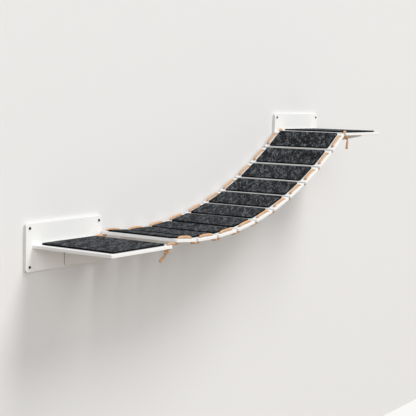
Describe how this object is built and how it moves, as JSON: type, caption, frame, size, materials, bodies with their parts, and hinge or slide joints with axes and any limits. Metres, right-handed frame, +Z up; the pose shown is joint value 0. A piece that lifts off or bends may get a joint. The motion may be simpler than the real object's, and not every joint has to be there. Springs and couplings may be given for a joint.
{
  "type": "cat wall bridge",
  "caption": "Cat footbridge of felt-topped wooden slats laced on ropes, hung between a low and a high wall shelf, each on a wall plate and gusset.",
  "frame": {"origin": "centre of the lower wall plate's back face, on the wall plane", "axes": "+Y into the wall, -Y out into the room, +Z up, +X along the wall from the lower shelf to the upper shelf"},
  "size_m": [1.7179, 0.3414, 0.4666],
  "materials": {
    "white_paint": "satin white paint on board",
    "charcoal_felt": "mottled needle felt",
    "twisted_rope": "twisted natural fibre",
    "black_screw": "black coated",
    "plain_steel": "zinc plated"
  },
  "bodies": {
    "wall_units": {"lower_wall_plate": "white_paint", "lower_shelf_board": "white_paint", "lower_gusset": "white_paint", "lower_shelf_mat": "charcoal_felt", "lower_wall_screw_1": "black_screw", "lower_wall_screw_2": "black_screw", "lower_wall_screw_3": "black_screw", "lower_wall_screw_4": "black_screw", "lower_shelf_screw_1": "plain_steel", "lower_shelf_screw_2": "plain_steel", "lower_gusset_screw_1": "plain_steel", "lower_gusset_screw_2": "plain_steel", "lower_top_screw_1": "plain_steel", "upper_wall_plate": "white_paint", "upper_shelf_board": "white_paint", "upper_gusset": "white_paint", "upper_shelf_mat": "charcoal_felt", "upper_wall_screw_1": "black_screw", "upper_wall_screw_2": "black_screw", "upper_wall_screw_3": "black_screw", "upper_wall_screw_4": "black_screw", "upper_shelf_screw_1": "plain_steel", "upper_shelf_screw_2": "plain_steel", "upper_gusset_screw_1": "plain_steel", "upper_gusset_screw_2": "plain_steel", "upper_top_screw_1": "plain_steel", "front_rope": "twisted_rope", "back_rope": "twisted_rope"},
    "slat_01": {"slat_board_01": "white_paint", "slat_mat_01": "charcoal_felt"},
    "slat_02": {"slat_board_02": "white_paint", "slat_mat_02": "charcoal_felt"},
    "slat_03": {"slat_board_03": "white_paint", "slat_mat_03": "charcoal_felt"},
    "slat_04": {"slat_board_04": "white_paint", "slat_mat_04": "charcoal_felt"},
    "slat_05": {"slat_board_05": "white_paint", "slat_mat_05": "charcoal_felt"},
    "slat_06": {"slat_board_06": "white_paint", "slat_mat_06": "charcoal_felt"},
    "slat_07": {"slat_board_07": "white_paint", "slat_mat_07": "charcoal_felt"},
    "slat_08": {"slat_board_08": "white_paint", "slat_mat_08": "charcoal_felt"},
    "slat_09": {"slat_board_09": "white_paint", "slat_mat_09": "charcoal_felt"},
    "slat_10": {"slat_board_10": "white_paint", "slat_mat_10": "charcoal_felt"}
  },
  "joints": [
    {"name": "rope_hinge_00", "type": "hinge", "parent": "wall_units", "child": "slat_01", "pos_m": [0.1575, -0.1603, 0.0093], "axis": [0, -1, 0], "range_deg": [-6, 6], "stiffness_Nm_per_rad": 4, "springref_deg": 43.61, "deforming": ["front_rope", "back_rope"]},
    {"name": "rope_hinge_01", "type": "hinge", "parent": "slat_01", "child": "slat_02", "pos_m": [0.27118, -0.1603, 0.00077], "axis": [0, -1, 0], "range_deg": [-2.7, 2.7], "stiffness_Nm_per_rad": 4, "springref_deg": 27.8},
    {"name": "rope_hinge_02", "type": "hinge", "parent": "slat_02", "child": "slat_03", "pos_m": [0.38518, -0.1603, 0.0018], "axis": [0, -1, 0], "range_deg": [-3.95, 3.95], "stiffness_Nm_per_rad": 4, "springref_deg": 15.49},
    {"name": "rope_hinge_03", "type": "hinge", "parent": "slat_03", "child": "slat_04", "pos_m": [0.49869, -0.1603, 0.01236], "axis": [0, -1, 0], "range_deg": [-3.56, 3.56], "stiffness_Nm_per_rad": 4, "springref_deg": 6.76},
    {"name": "rope_hinge_04", "type": "hinge", "parent": "slat_04", "child": "slat_05", "pos_m": [0.61094, -0.1603, 0.03223], "axis": [0, -1, 0], "range_deg": [-1.75, 1.75], "stiffness_Nm_per_rad": 4, "springref_deg": 1.62},
    {"name": "rope_hinge_10", "type": "hinge", "parent": "wall_units", "child": "slat_10", "pos_m": [1.22732, -0.1603, 0.31778], "axis": [0, -1, 0], "range_deg": [-5.49, 5.49], "stiffness_Nm_per_rad": 4, "springref_deg": -38.73},
    {"name": "rope_hinge_09", "type": "hinge", "parent": "slat_10", "child": "slat_09", "pos_m": [1.13309, -0.1603, 0.25361], "axis": [0, -1, 0], "range_deg": [-1.59, 1.59], "stiffness_Nm_per_rad": 4, "springref_deg": -25.46},
    {"name": "rope_hinge_08", "type": "hinge", "parent": "slat_09", "child": "slat_08", "pos_m": [1.03521, -0.1603, 0.19517], "axis": [0, -1, 0], "range_deg": [-3.04, 3.04], "stiffness_Nm_per_rad": 4, "springref_deg": -14.72},
    {"name": "rope_hinge_07", "type": "hinge", "parent": "slat_08", "child": "slat_07", "pos_m": [0.93378, -0.1603, 0.14314], "axis": [0, -1, 0], "range_deg": [-3.51, 3.51], "stiffness_Nm_per_rad": 4, "springref_deg": -6.75},
    {"name": "rope_hinge_06", "type": "hinge", "parent": "slat_07", "child": "slat_06", "pos_m": [0.82901, -0.1603, 0.09819], "axis": [0, -1, 0], "range_deg": [-2.65, 2.65], "stiffness_Nm_per_rad": 4, "springref_deg": -1.77}
  ],
  "couplings": [
    {"joint": "rope_hinge_01", "follows": "rope_hinge_00", "ratio": -0.4484},
    {"joint": "rope_hinge_02", "follows": "rope_hinge_00", "ratio": -0.6572},
    {"joint": "rope_hinge_03", "follows": "rope_hinge_00", "ratio": -0.593},
    {"joint": "rope_hinge_04", "follows": "rope_hinge_00", "ratio": -0.2916},
    {"joint": "rope_hinge_10", "follows": "rope_hinge_00", "ratio": 0.914},
    {"joint": "rope_hinge_09", "follows": "rope_hinge_00", "ratio": -0.2648},
    {"joint": "rope_hinge_08", "follows": "rope_hinge_00", "ratio": -0.5064},
    {"joint": "rope_hinge_07", "follows": "rope_hinge_00", "ratio": -0.5834},
    {"joint": "rope_hinge_06", "follows": "rope_hinge_00", "ratio": -0.4407}
  ]
}
